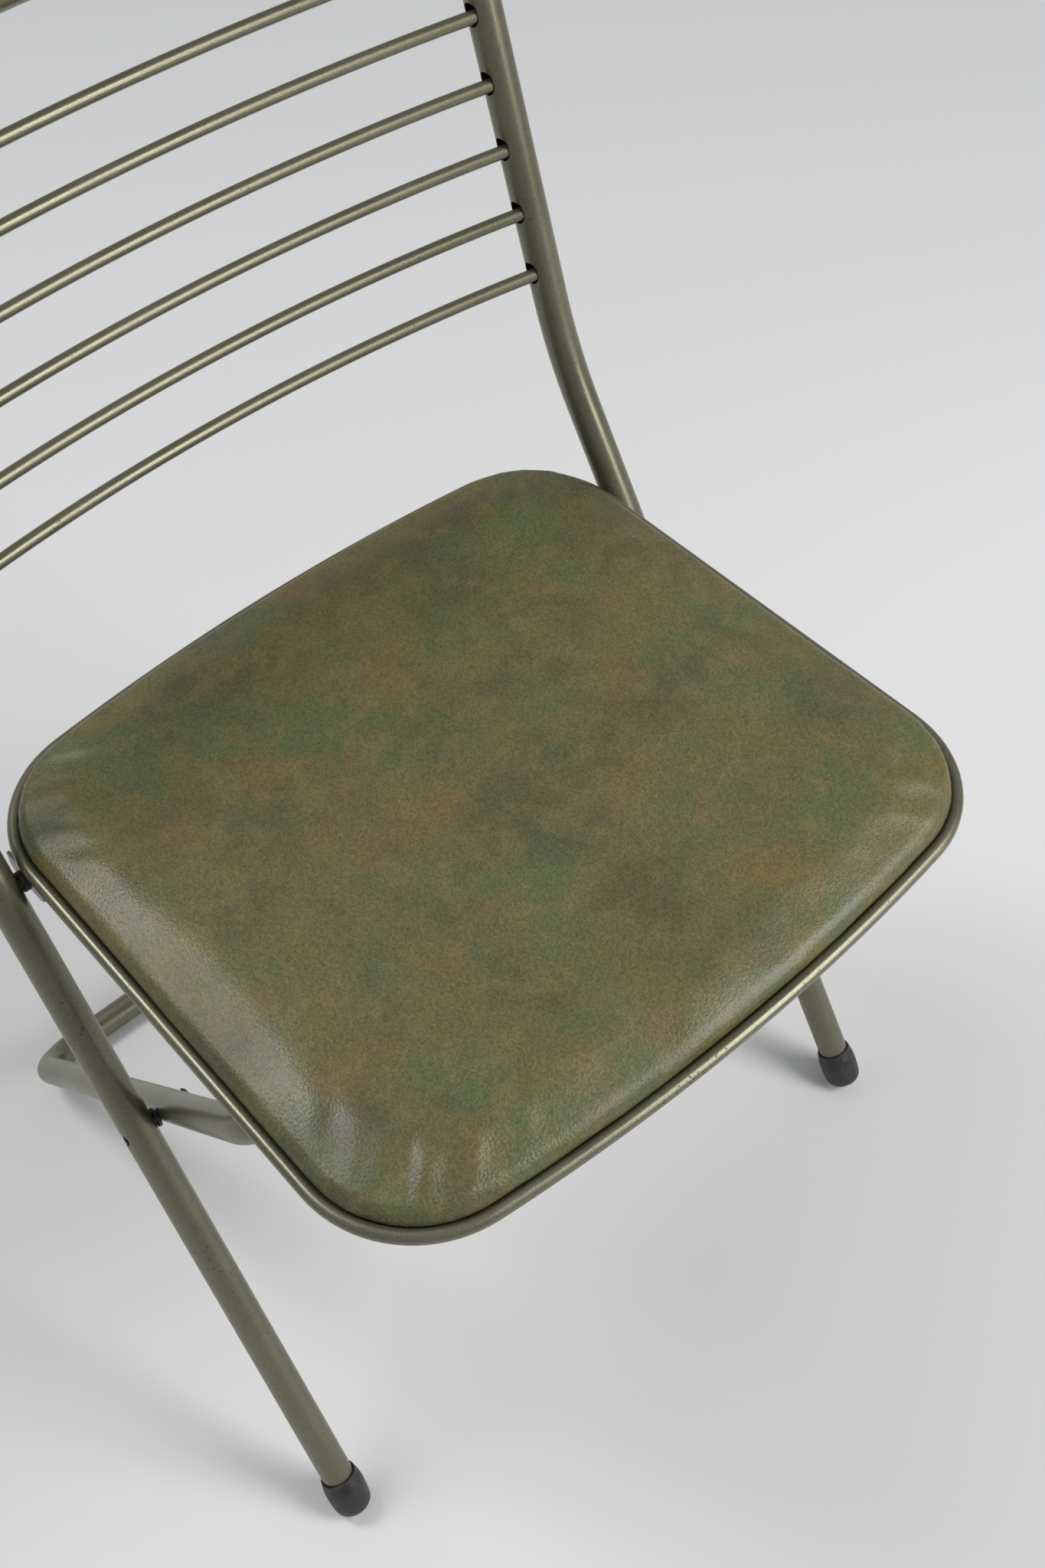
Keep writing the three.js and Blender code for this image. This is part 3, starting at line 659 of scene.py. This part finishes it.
leg_direction = leg_up.normalized()
foot_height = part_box("main_frame_tube")[0].z + MAIN_TUBE / 2 * math.sqrt(1 - leg_direction.z ** 2)
top_corner = upright_at(rod_middle(ROD_COUNT) - back_out * ROD_BOW + back_up * 60.5 * MM)
rail_middle = Vector((0, top_corner.y, top_corner.z)) + back_out * knee.x * math.tan(RAIL_SWEEP)
RAIL_BEND = (knee.x / math.cos(RAIL_SWEEP) - CORNER_BEND - RAIL_STRAIGHT) / math.tan(RAIL_SWEEP)


def other_side(point):
    return Vector((-point.x, point.y, point.z))


right_half = [(leg_at(foot_height), 0), (knee, KNEE_BEND), (top_corner, CORNER_BEND)]
left_half = [(other_side(point), radius) for point, radius in reversed(right_half)]
main_line = [*right_half, (rail_middle, RAIL_BEND), *left_half]
main_tube = bent_tube("main_tube", main_line, MAIN_TUBE / 2, SIDES, RING_STEP)
modify(main_tube, "SOLIDIFY", thickness=MAIN_WALL, offset=-1)
print("main tube", [round(s, 4) for s in main_tube.dimensions])

# %% Cut its slots and access holes
SLOT_RISE = 3 * MM
SLOT_PLAY = 1 * MM
SLOT_RADIUS = ROD / 2 + GAP + SLOT_PLAY
SHANK_HOLE = 3.3 * MM
ACCESS_HOLE = 4.5 * MM
inner_face = knee.x - MAIN_TUBE / 2


def slot_cutter(number):
    """A round ended slot, taller than the rod, through the inner wall only."""
    at = upright_at(rod_middle(number) - back_out * ROD_BOW)
    start = Vector((inner_face - 3 * MM, at.y, at.z))
    cutter = start_ring(f"slot_{number}", start, ACROSS, SLOT_RADIUS, 24)
    pick(cutter, "VERT", lambda corner: (corner - start).dot(back_up) > 0.01 * MM)
    bpy.ops.transform.translate(value=tuple(back_up * SLOT_RISE))
    bpy.ops.mesh.select_all(action="SELECT")
    bpy.ops.mesh.edge_face_add()
    feed(ACROSS * 12 * MM)
    return close_up(cutter)


def hole_cutter(name, start, length, radius):
    cutter = start_ring(name, start, ACROSS, radius, 24)
    bpy.ops.mesh.edge_face_add()
    feed(ACROSS * length)
    return close_up(cutter)


right_cutters = [slot_cutter(number) for number in range(1, ROD_COUNT + 1)]
for name, pivot in (("crossing", crossing), ("seat", seat_pivot)):
    right_cutters.append(hole_cutter(name + "_access", pivot, 16 * MM, ACCESS_HOLE))
    right_cutters.append(hole_cutter(name + "_shank", pivot - ACROSS * 16 * MM, 15 * MM, SHANK_HOLE))
left_cutters = [mirrored_copy(cutter, cutter.name + "_left") for cutter in right_cutters]
cut_with(main_tube, join("cutters", right_cutters + left_cutters))
soften_edges(main_tube, 0.35 * MM)
fit(main_tube, "main_frame", "olive_paint", "main_frame_tube")

# %% [markdown]
# ## The back rods
#
# Six thin rods bow backwards between the uprights. Each is one arc: a ring spun about the bow's centre,
# and each rod is spun on its own at its height up the uprights.

# %% Bend the rods
half_chord = inner_face
bow_radius = (half_chord ** 2 + ROD_BOW ** 2) / (2 * ROD_BOW)
end_angle = math.asin((half_chord + 8.5 * MM) / bow_radius)

for number in range(1, ROD_COUNT + 1):
    middle = rod_middle(number)
    bow_centre = middle - back_out * bow_radius
    start = bow_centre + (back_out * math.cos(end_angle) - ACROSS * math.sin(end_angle)) * bow_radius
    heading = ACROSS * math.cos(end_angle) + back_out * math.sin(end_angle)
    rod = start_ring(f"back_rod_bar_{number}", start, heading, ROD / 2, 24)
    bpy.ops.mesh.edge_face_add()
    bend(bow_centre, ACROSS.cross(back_out), -2 * end_angle, 48)
    close_up(rod)
    fit(rod, "main_frame", "olive_paint", f"back_rod_{number}")

# %% [markdown]
# ## The rear frame
#
# The rear legs are one tube bent to a rectangle. Its ends meet in the middle of the top bar, under the
# seat. It is made like the main tube.

# %% Feed and bend the rear tube
REAR_TUBE = 19 * MM
REAR_WALL = 1.2 * MM
SLIT = 1 * MM
TOP_BEND = 55 * MM
BOTTOM_BEND = 38 * MM

low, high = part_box("rear_frame_tube")
rear_x = high.x - REAR_TUBE / 2
top_bar = Vector((rear_x, low.y + REAR_TUBE / 2, high.z - REAR_TUBE / 2))
bottom_bar = Vector((rear_x, high.y - REAR_TUBE / 2, low.z + REAR_TUBE / 2))
end = Vector((SLIT / 2, top_bar.y, top_bar.z))
rear_half = [(end, 0), (top_bar, TOP_BEND), (bottom_bar, BOTTOM_BEND)]
rear_line = [*rear_half, *[(other_side(point), radius) for point, radius in reversed(rear_half)]]
rear_tube = bent_tube("rear_tube", rear_line, REAR_TUBE / 2, SIDES, 12 * MM)
modify(rear_tube, "SOLIDIFY", thickness=REAR_WALL, offset=-1)
right_hole_start = Vector((rear_x - 14 * MM, crossing.y, crossing.z))
right_hole = hole_cutter("rear_pivot", right_hole_start, 28 * MM, SHANK_HOLE)
left_hole = mirrored_copy(right_hole, "rear_pivot_left")
cut_with(rear_tube, join("rear_holes", [right_hole, left_hole]))
fit(rear_tube, "rear_frame", "olive_paint", "rear_frame_tube")

# %% [markdown]
# ## The track round the seat
#
# Pan and pad have the same outline: bowed front and rear edges, straight sides that widen forwards, round
# corners. A profile drawn at the middle of the front edge is bent and fed along the right half of that
# track, and a Mirror makes the left half.

# %% Work out the track
SEAT_EDGE_BEND = 1250 * MM
SEAT_CORNER_BEND = 70 * MM
SEAT_WIDENING = 5.5 / 300

pan_low, pan_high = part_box("seat_pan")
seat_middle = (pan_low.y + pan_high.y) / 2
side_way = Vector((-SEAT_WIDENING, 1, 0)).normalized()
side_out = Vector((side_way.y, -side_way.x, 0))
beside_pivot = Vector((seat_pivot.x - MAIN_TUBE / 2 - 2.4 * MM, seat_pivot.y, 0))


def edge_centre(end):
    """The centre that the front (-1) or rear (1) edge is bowed about."""
    half_depth = (pan_high.y - pan_low.y) / 2
    return Vector((0, seat_middle + end * (half_depth - SEAT_EDGE_BEND), 0))


def corner_centre(end):
    """The corner's centre, its radius inside the side and inside the bowed edge."""
    base = beside_pivot - side_out * SEAT_CORNER_BEND
    reach = SEAT_EDGE_BEND - SEAT_CORNER_BEND
    off = base - edge_centre(end)
    along = off.dot(side_way)
    return base + side_way * (end * math.sqrt(along ** 2 + reach ** 2 - off.length_squared) - along)


def direction_of(vector):
    return math.atan2(vector.y, vector.x)


def sweep_round_seat(name, section):
    """Takes a section, pairs of inset and height, round the seat, and closes both halves together."""
    front, rear = corner_centre(-1), corner_centre(1)
    front_angle = direction_of(front - edge_centre(-1)) + math.pi / 2
    front_corner = direction_of(side_out) - direction_of(front - edge_centre(-1))
    rear_corner = direction_of(rear - edge_centre(1)) - direction_of(side_out)
    rear_angle = math.pi / 2 - direction_of(rear - edge_centre(1))
    piece = draw_line(name, [Vector((0, pan_low.y + inset, height)) for inset, height in section])
    bend(edge_centre(-1), UP, front_angle, 26)
    bend(front, UP, front_corner, 20)
    feed(side_way * (rear - front).length, 30)
    bend(rear, UP, rear_corner, 20)
    bend(edge_centre(1), UP, rear_angle, 26)
    close_up(piece)
    return modify(piece, "MIRROR", use_clip=True, merge_threshold=0.02 * MM)


print("corner centres", [round(c, 4) for c in corner_centre(-1)], [round(c, 4) for c in corner_centre(1)])

# %% [markdown]
# ## The seat pan
#
# A thin steel tray: a flat deck whose edge turns up and curls over outwards into a round bead. The bead is
# what shows all round under the pad. The section is drawn with its curl, swept round the seat, the deck is
# filled in, its middle is pressed down a little, and the sheet gets its thickness.

# %% Draw the rim's section and sweep it
SHEET = 0.8 * MM
BEAD = 3.6 * MM
FILLET = 1.2 * MM
bead_height = pan_high.z - 4 * MM
deck_height = bead_height - 2.9 * MM
bead_inset = 4 * MM

fillet_rise = deck_height + FILLET - bead_height
fillet_in = math.sqrt((BEAD + FILLET) ** 2 - fillet_rise ** 2)
fillet_end = math.atan2(-fillet_rise, fillet_in)
rim_section = [(bead_inset + fillet_in + 6 * MM, deck_height)]
for step in range(6):
    angle = -math.pi / 2 + (fillet_end + math.pi / 2) * step / 5
    rim_section.append((
        bead_inset + fillet_in - FILLET * math.cos(angle),
        bead_height + fillet_rise + FILLET * math.sin(angle),
    ))
curl_start = math.pi + fillet_end
curl_end = math.radians(-112)
for step in range(1, 25):
    angle = curl_start + (curl_end - curl_start) * step / 24
    rim_section.append((bead_inset - BEAD * math.cos(angle), bead_height + BEAD * math.sin(angle)))
pan = sweep_round_seat("pan", rim_section)
print("rim section of", len(rim_section), "points")

# %% Fill the deck, press it and give it thickness
FLAT_BORDER = 26 * MM
PRESSED_SLOPE = 5 * MM
PRESSED_DEPTH = 1.4 * MM
edit(pan)
fill_at(pan, deck_height)
bpy.ops.mesh.select_mode(type="FACE")
bpy.ops.mesh.inset(thickness=FLAT_BORDER)
bpy.ops.mesh.inset(thickness=PRESSED_SLOPE, depth=-PRESSED_DEPTH)
close_up(pan)
modify(pan, "SOLIDIFY", thickness=SHEET, offset=0)
fit(pan, "seat", "olive_paint", "seat_pan")

# %% [markdown]
# ## The pad
#
# Foam on a board under stretched vinyl. Its lower part stands in the tray, and above the bead it bulges out
# over it, so that the bead shows as a narrow band below the pad. A plain rounded slab would look hard. The
# closed form is drawn a little small, remeshed to even small faces, and blown up slightly with Cloth, its
# underside held flat, where it lies on the deck's border. A Subdivision then smooths it.

# %% Sweep the pad's form
pad_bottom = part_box("pad_cover")[0].z
PAD_SECTION = (
    (34, 0), (10.2, 0), (8.9, 0.6), (8.4, 1.8), (8.3, 5.0), (7.4, 6.8), (5.9, 7.4), (5.0, 8.6),
    (4.8, 10.2), (5.0, 12.0), (5.8, 13.8), (7.2, 15.3), (9.0, 16.4), (11.4, 17.2), (14.5, 18.0),
    (18, 18.7), (24, 19.5), (32, 20.1), (42, 20.5),
)
pad = sweep_round_seat("pad", [(inset * MM, pad_bottom + rise * MM) for inset, rise in PAD_SECTION])
edit(pad)
fill_at(pad, pad_bottom)
fill_at(pad, pad_bottom + PAD_SECTION[-1][1] * MM)
close_up(pad)
print("pad form", [round(s, 4) for s in pad.dimensions], len(pad.data.polygons), "faces")

# %% Blow it up
VOXEL = 4 * MM
MOST_SWELL = 2.5 * MM
modify(pad, "REMESH", mode="VOXEL", voxel_size=VOXEL, use_smooth_shade=True)
modify(pad, "SMOOTH", factor=0.5, iterations=2)
resting = pad.vertex_groups.new(name="resting")
resting.add([v.index for v in pad.data.vertices if v.co.z < pad_bottom + 7 * MM], 1.0, "REPLACE")
start_shape = [v.co.copy() for v in pad.data.vertices]
cloth = pad.modifiers.new("cloth", "CLOTH")
cloth.settings.use_pressure = True
cloth.settings.uniform_pressure_force = 4
cloth.settings.vertex_group_mass = "resting"
cloth.settings.effector_weights.gravity = 0
for number in range(1, 21):
    bpy.context.scene.frame_set(number)
blown = pad.evaluated_get(bpy.context.evaluated_depsgraph_get())
blown_shape = [v.co.copy() for v in blown.data.vertices]
pad.modifiers.remove(cloth)
most = max((after - before).length for before, after in zip(start_shape, blown_shape))
print("most swell in mm", round(most * 1000, 2))
for vertex, before, after in zip(pad.data.vertices, start_shape, blown_shape):
    swell = after - before
    if swell.length > MOST_SWELL:
        swell *= MOST_SWELL / swell.length
    vertex.co = before + swell
bpy.context.scene.frame_set(1)
modify(pad, "SUBSURF", levels=1, render_levels=1)
fit(pad, "seat", "vinyl", "pad_cover", "pad_foam")
print("pad top", round(max(v.co.z for v in pad.data.vertices), 4))

# %% [markdown]
# ## Rubber tips
#
# A cup over each front leg's end, thickest a third of the way down from its mouth, with a thin lip. It is
# turned from a profile about the leg's own line, and the floor has worn its rounded end flat.

# %% Turn the tips
TIP_PROFILE = (
    (0, 0), (5.0, 0), (8.0, 0.5), (10.3, 1.7), (11.6, 3.6), (12.2, 6.2), (12.55, 10), (12.8, 14.5),
    (12.85, 18.5), (12.6, 22), (12.1, 25), (11.5, 27), (11.6, 27.8), (11.4, 28.7), (10.9, 29),
    (10.35, 28.8), (10.3, 28), (10.3, 6), (0, 6),
)
TIP_BELOW_TUBE = 6.3 * MM
tip_end = leg_at(foot_height) - leg_direction * TIP_BELOW_TUBE
tip = turn_piece("tip_right", [(r * MM, a * MM) for r, a in TIP_PROFILE], tip_end, leg_direction, 48)
edit(tip)
bpy.ops.mesh.bisect(plane_co=(0, 0, 0), plane_no=(0, 0, 1), use_fill=True, clear_inner=True)
close_up(tip)
left_tip = mirrored_copy(tip, "tip_left")
fit(tip, "main_frame", "black_rubber", "foot_tip_right")
fit(left_tip, "main_frame", "black_rubber", "foot_tip_left")

# %% [markdown]
# ## Rivets, washers and lugs
#
# Each pivot is a steel rivet with a domed head inside and a set head within the main tube, and a black fibre
# washer between the two parts. The seat hangs on two small plates, the lugs, under its rim.

# %% Turn the rivets and washers
HEAD_RISE = 2.4 * MM
HEAD_RADIUS = 4.75 * MM
SET_HEAD_RADIUS = 4.2 * MM
SHANK_RADIUS = 3 * MM


def dome(radius, face, rise):
    """The profile of a domed head, from its crown to its edge."""
    points = []
    for step in range(7):
        angle = math.pi / 2 * step / 6
        points.append((radius * math.sin(angle), face + rise * math.cos(angle)))
    return points


for name, pivot in (("crossing", crossing), ("seat", seat_pivot)):
    head_low, head_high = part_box(f"{name}_rivet_right")
    washer_low, washer_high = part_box(f"{name}_washer_right")
    length = head_high.x - head_low.x
    axis_start = Vector((head_low.x, pivot.y, pivot.z))
    outer_head = length - HEAD_RISE
    profile = dome(HEAD_RADIUS, HEAD_RISE, -HEAD_RISE)
    profile += [(SHANK_RADIUS, HEAD_RISE), (SHANK_RADIUS, outer_head)]
    profile += list(reversed(dome(SET_HEAD_RADIUS, outer_head, HEAD_RISE)))
    rivet = turn_piece(f"rivet_{name}_right", profile, axis_start, ACROSS, 32)
    left_rivet = mirrored_copy(rivet, f"rivet_{name}_left")
    fit(rivet, "main_frame", "dark_steel", f"{name}_rivet_right")
    fit(left_rivet, "main_frame", "dark_steel", f"{name}_rivet_left")

    thick = washer_high.x - washer_low.x
    ring = [(3.3, 0.3), (3.6, 0), (5.6, 0), (6.0, 0.4)]
    profile = [(r * MM, a * MM) for r, a in ring]
    profile += [(r * MM, thick - a * MM) for r, a in reversed(ring)]
    profile.append(profile[0])
    start = Vector((washer_low.x, pivot.y, pivot.z))
    washer = turn_piece(f"fibre_washer_{name}_right", profile, start, ACROSS, 40)
    left_washer = mirrored_copy(washer, f"fibre_washer_{name}_left")
    fit(washer, "main_frame", "black_washer", f"{name}_washer_right")
    fit(left_washer, "main_frame", "black_washer", f"{name}_washer_left")

# %% Cut out the lugs
lug_low, lug_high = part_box("seat_lug_right")
select_nothing()
lug_middle = Vector((lug_low.x, (lug_low.y + lug_high.y) / 2, (lug_low.z + lug_high.z) / 2))
bpy.ops.mesh.primitive_plane_add(size=1, location=lug_middle, rotation=(math.pi / 2, 0, math.pi / 2))
lug = bpy.context.object
lug.name = "lug_right"
lug.dimensions = (lug_high.y - lug_low.y, lug_high.z - lug_low.z, 0)
bpy.ops.object.transform_apply(location=True, rotation=True, scale=True)
edit(lug)
pick(lug, "VERT", lambda corner: corner.z < lug_middle.z)
bpy.ops.mesh.bevel(offset=8.5 * MM, segments=10, affect="VERTICES")
bpy.ops.mesh.select_all(action="SELECT")
feed(ACROSS * (lug_high.x - lug_low.x))
close_up(lug)
hole_start = Vector((lug_low.x - 2 * MM, seat_pivot.y, seat_pivot.z))
cut_with(lug, hole_cutter("lug_hole", hole_start, 6 * MM, SHANK_HOLE))
soften_edges(lug, 0.3 * MM)
left_lug = mirrored_copy(lug, "lug_left")
fit(lug, "seat", "olive_paint", "seat_lug_right")
fit(left_lug, "seat", "olive_paint", "seat_lug_left")

# %% [markdown]
# ## Under the seat
#
# Two bent strips under the deck stop the rear frame's top bar, and four slotted screws hold the pad from
# below. A strip is its edge line fed sideways and given its thickness; a screw is turned, and its slot cut.

# %% Bend the stops
STRIP = 1.5 * MM
stop_low, stop_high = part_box("bar_stop_right")
STOP_BEND = 1.85 * MM
bend_start = stop_low.y + STRIP / 2 + STOP_BEND
edge_line = [
    Vector((stop_low.x, stop_high.y, stop_high.z - STRIP / 2)),
    Vector((stop_low.x, bend_start, stop_high.z - STRIP / 2)),
]
for step in range(1, 7):
    angle = math.pi / 2 * step / 6
    edge_line.append(Vector((
        stop_low.x,
        bend_start - STOP_BEND * math.sin(angle),
        stop_high.z - STRIP / 2 - STOP_BEND * (1 - math.cos(angle)),
    )))
edge_line.append(Vector((stop_low.x, stop_low.y + STRIP / 2, stop_low.z)))
stop = draw_line("stop_right", edge_line)
feed(ACROSS * (stop_high.x - stop_low.x))
close_up(stop)
modify(stop, "SOLIDIFY", thickness=STRIP, offset=0)
soften_edges(stop, 0.3 * MM)
left_stop = mirrored_copy(stop, "stop_left")
fit(stop, "seat", "olive_paint", "bar_stop_right")
fit(left_stop, "seat", "olive_paint", "bar_stop_left")

# %% Turn the screws
for place in ("front", "rear"):
    screw_low, screw_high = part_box(f"pad_screw_{place}_right")
    centre = (screw_low + screw_high) / 2
    head_bottom = Vector((centre.x, centre.y, screw_low.z))
    length = screw_high.z - screw_low.z
    profile = [
        (0, 0), (2.4 * MM, 0.05 * MM), (3.4 * MM, 0.45 * MM), (3.9 * MM, 1.1 * MM), (4 * MM, 1.8 * MM),
        (1.7 * MM, 1.8 * MM), (1.7 * MM, length - 1 * MM), (0.8 * MM, length), (0, length),
    ]
    screw = turn_piece(f"screw_{place}_right", profile, head_bottom, UP, 32)
    select_nothing()
    bpy.ops.mesh.primitive_cube_add(size=1, location=head_bottom, rotation=(0, 0, 0.6))
    slot = bpy.context.object
    slot.dimensions = (12 * MM, 1 * MM, 1.8 * MM)
    bpy.ops.object.transform_apply(location=True, rotation=True, scale=True)
    cut_with(screw, slot)
    left_screw = mirrored_copy(screw, f"screw_{place}_left")
    fit(screw, "seat", "zinc_steel", f"pad_screw_{place}_right")
    fit(left_screw, "seat", "zinc_steel", f"pad_screw_{place}_left")

# %% Cut the screw holes in the deck
holes = []
for place in ("front", "rear"):
    screw_low, screw_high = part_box(f"pad_screw_{place}_right")
    centre = (screw_low + screw_high) / 2
    select_nothing()
    bpy.ops.mesh.primitive_cylinder_add(
        vertices=24, radius=2.05 * MM, depth=6 * MM, location=(centre.x, centre.y, deck_height),
    )
    hole = bpy.context.object
    bpy.ops.object.transform_apply(location=True, rotation=True, scale=True)
    holes += [hole, mirrored_copy(hole, "left_hole")]
cut_with(pan, join("screw_holes", holes))

# %% The board stays as it came
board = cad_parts["pad_board"]
board.data.materials.clear()
board.data.materials.append(hardboard)

# %% Measure the bounds of the finished model
low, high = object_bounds()
